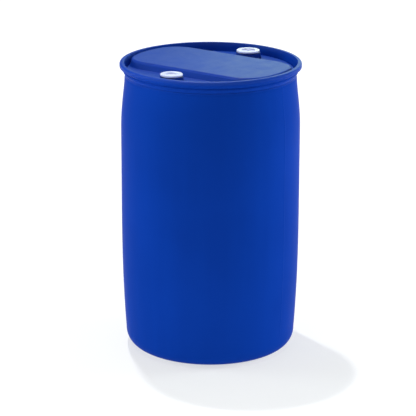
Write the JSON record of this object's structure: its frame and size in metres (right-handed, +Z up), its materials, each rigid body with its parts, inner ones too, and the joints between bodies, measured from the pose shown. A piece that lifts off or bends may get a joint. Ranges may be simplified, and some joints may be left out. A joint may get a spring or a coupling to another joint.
{
  "type": "plastic drum",
  "caption": "Upright cylindrical plastic drum with a moulded head, a flared handling ring and screwed bung plugs.",
  "frame": {"origin": "centre of the base, on the floor that the drum stands on", "axes": "+Z up along the drum's axis; the bungs lie on Y, the coarse-threaded one at -Y, and the head's raised band runs along X"},
  "size_m": [0.5754, 0.5754, 0.935],
  "materials": {
    "drum_blue": "satin blow-moulded HDPE",
    "neck_blue": "darker injection-moulded HDPE",
    "plug_white": "white injection-moulded HDPE",
    "gasket_black": "matt black EPDM"
  },
  "bodies": {
    "drum": {"drum_body": "drum_blue", "handling_ring": "drum_blue", "coarse_bung_neck": "neck_blue", "fine_bung_neck": "neck_blue"},
    "coarse_lift": {"coarse_bung_gasket": "gasket_black"},
    "coarse_plug": {"coarse_bung_plug": "plug_white"},
    "fine_lift": {"fine_bung_gasket": "gasket_black"},
    "fine_plug": {"fine_bung_plug": "plug_white"}
  },
  "joints": [
    {"name": "coarse_plug_rise", "type": "slide", "parent": "drum", "child": "coarse_lift", "axis": [0, 0, 1], "range_m": [0, 0.0135]},
    {"name": "coarse_plug_unscrew", "type": "hinge", "parent": "coarse_lift", "child": "coarse_plug", "pos_m": [0, -0.207, 0.934], "axis": [0, 0, 1], "range_deg": [0, 1200]},
    {"name": "fine_plug_rise", "type": "slide", "parent": "drum", "child": "fine_lift", "axis": [0, 0, 1], "range_m": [0, 0.0135]},
    {"name": "fine_plug_unscrew", "type": "hinge", "parent": "fine_lift", "child": "fine_plug", "pos_m": [0, 0.207, 0.934], "axis": [0, 0, 1], "range_deg": [0, 2070]}
  ],
  "couplings": [
    {"joint": "coarse_plug_rise", "follows": "coarse_plug_unscrew", "m_per_rad": 0.00063662},
    {"joint": "fine_plug_rise", "follows": "fine_plug_unscrew", "m_per_rad": 0.00036749}
  ]
}
